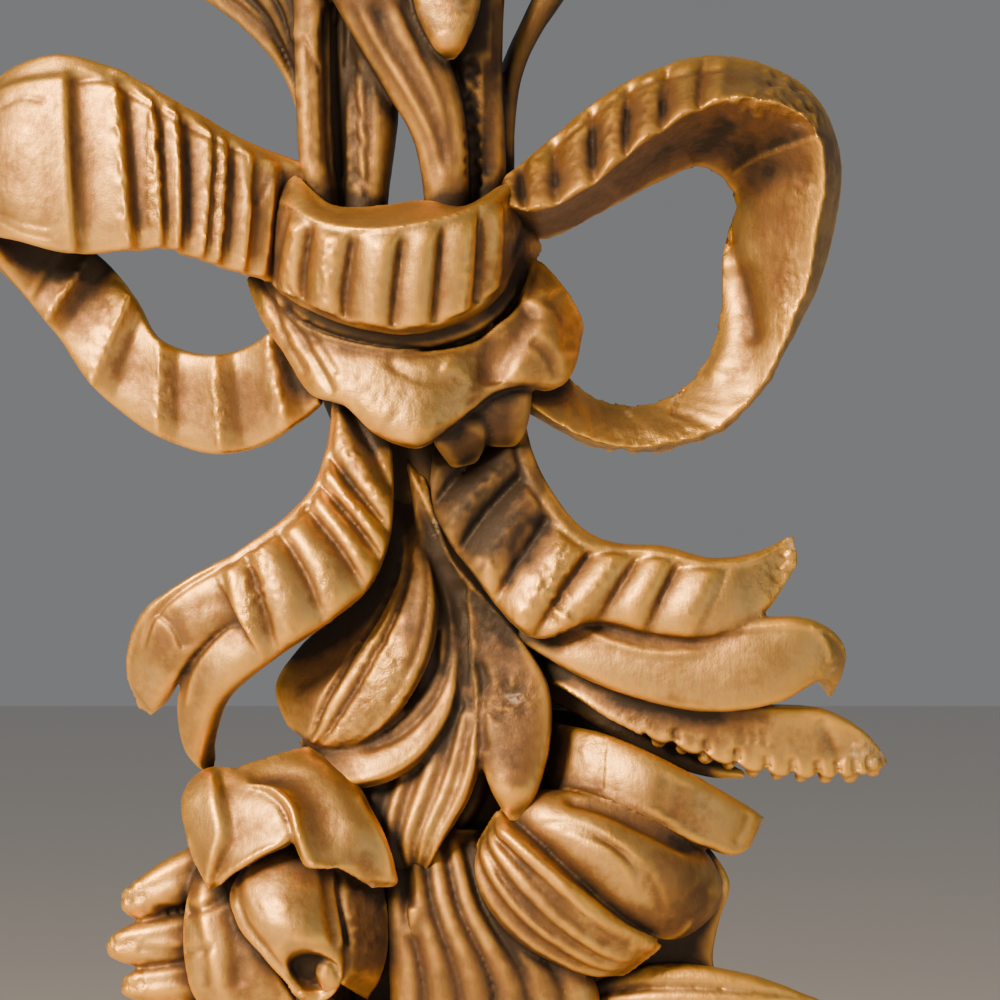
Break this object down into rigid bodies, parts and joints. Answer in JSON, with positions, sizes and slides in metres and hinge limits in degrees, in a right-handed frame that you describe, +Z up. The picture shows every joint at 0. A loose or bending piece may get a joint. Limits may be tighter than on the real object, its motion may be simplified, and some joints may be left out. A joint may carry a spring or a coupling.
{
  "type": "carved floral wall accent",
  "caption": "Carved and gilded wood bouquet hung head down: a stem sheaf tied with a crimped ribbon bow, its tails, leaves and flowers below, flat at the back to lie on a wall.",
  "frame": {"origin": "on the flat back, on the wall plane, behind the middle of the bow's knot", "axes": "+Z up along the ornament's length, towards the stem ends; +Y into the wall; the carving faces -Y"},
  "size_m": [0.2286, 0.0631, 0.4247],
  "materials": {
    "antique_gold": "satin antique gold paint over carved wood, rubbed pale on the ridges, umber glaze in the hollows"
  },
  "bodies": {
    "root": {"bouquet_drop": "antique_gold"}
  },
  "joints": []
}
